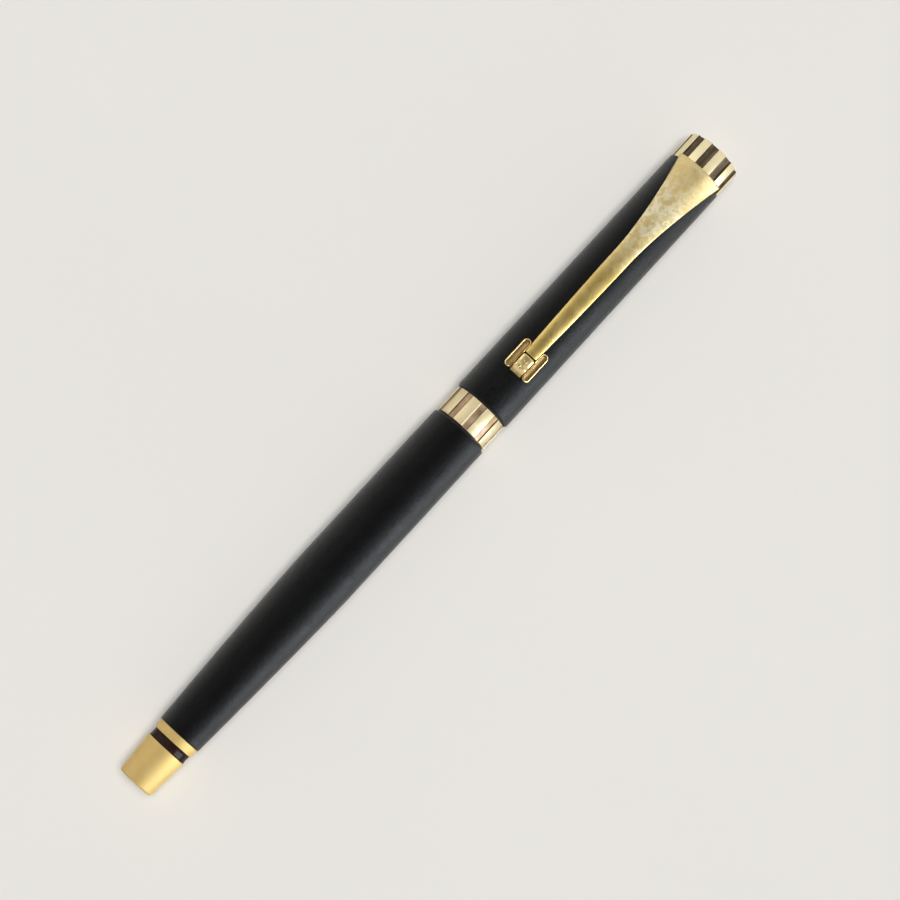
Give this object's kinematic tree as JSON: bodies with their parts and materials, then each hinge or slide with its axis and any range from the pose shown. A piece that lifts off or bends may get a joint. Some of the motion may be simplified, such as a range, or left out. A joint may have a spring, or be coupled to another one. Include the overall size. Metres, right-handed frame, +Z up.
{
  "type": "capped rollerball pen",
  "caption": "Slim capped rollerball pen with a tapered barrel, fluted trim, a pocket clip, a screw-in grip section and a spring-backed refill.",
  "frame": {"origin": "centre of the pen's footprint on the surface that it lies on", "axes": "+X along the pen towards the crown, +Z up with the clip on top, +Y across the pen"},
  "size_m": [0.137, 0.0102, 0.0118],
  "materials": {
    "black_coat": "fine-grained matte black powder coat",
    "gold": "polished pale gold plating",
    "satin_gold": "satin pale gold plating",
    "dark_gloss": "glossy black-brown lacquer",
    "raw_brass": "plain turned brass",
    "steel": "bright drawn steel",
    "white_plastic": "moulded off-white plastic",
    "black_plastic": "moulded black plastic",
    "ink_fibre": "ink-soaked fibre",
    "carbide": "ground hard metal"
  },
  "bodies": {
    "section": {"section_joint": "raw_brass", "clutch_ring": "gold", "grip_section": "black_coat", "nose_cone": "gold"},
    "refill": {"refill_tube": "white_plastic", "refill_end_plug": "black_plastic", "ink_core": "ink_fibre", "feed_rod": "ink_fibre", "refill_housing": "black_plastic", "refill_tip": "steel"},
    "ball": {"writing_ball": "carbide"},
    "spring": {"refill_spring": "steel"},
    "barrel": {"tail_finial": "satin_gold", "tail_band": "dark_gloss", "tail_ring": "gold", "barrel_tube": "black_coat", "barrel_bush": "raw_brass"},
    "cap": {"cap_tube": "black_coat", "cap_band": "gold", "inner_cap": "black_plastic", "clip_bush": "raw_brass", "crown_screw": "steel", "cap_crown": "gold"},
    "clip": {"pocket_clip": "gold", "clip_shoe": "gold"}
  },
  "joints": [
    {"name": "cap_pull", "type": "slide", "parent": "section", "child": "cap", "axis": [1, 0, 0], "range_m": [0, 0.056]},
    {"name": "clip_flex", "type": "hinge", "parent": "cap", "child": "clip", "pos_m": [0.0636, 0, 0.01027], "axis": [0, 1, 0], "range_deg": [0, 4], "stiffness_Nm_per_rad": 2.5, "springref_deg": -1.15},
    {"name": "refill_float", "type": "slide", "parent": "section", "child": "refill", "axis": [1, 0, 0], "range_m": [-0.0012, 0], "stiffness_N_per_m": 1100, "springref_m": 0.0025, "deforming": ["refill_spring"]},
    {"name": "ball_roll", "type": "hinge", "parent": "refill", "child": "ball", "pos_m": [0.05635, 0, 0.00515], "axis": [0, 1, 0], "continuous": true},
    {"name": "barrel_travel", "type": "slide", "parent": "section", "child": "spring", "axis": [-1, 0, 0], "range_m": [0, 0.0056]},
    {"name": "barrel_turn", "type": "hinge", "parent": "spring", "child": "barrel", "pos_m": [0, 0, 0.00515], "axis": [-1, 0, 0], "range_deg": [0, 2521]}
  ],
  "couplings": [
    {"joint": "barrel_turn", "follows": "barrel_travel", "rad_per_m": 7854}
  ]
}
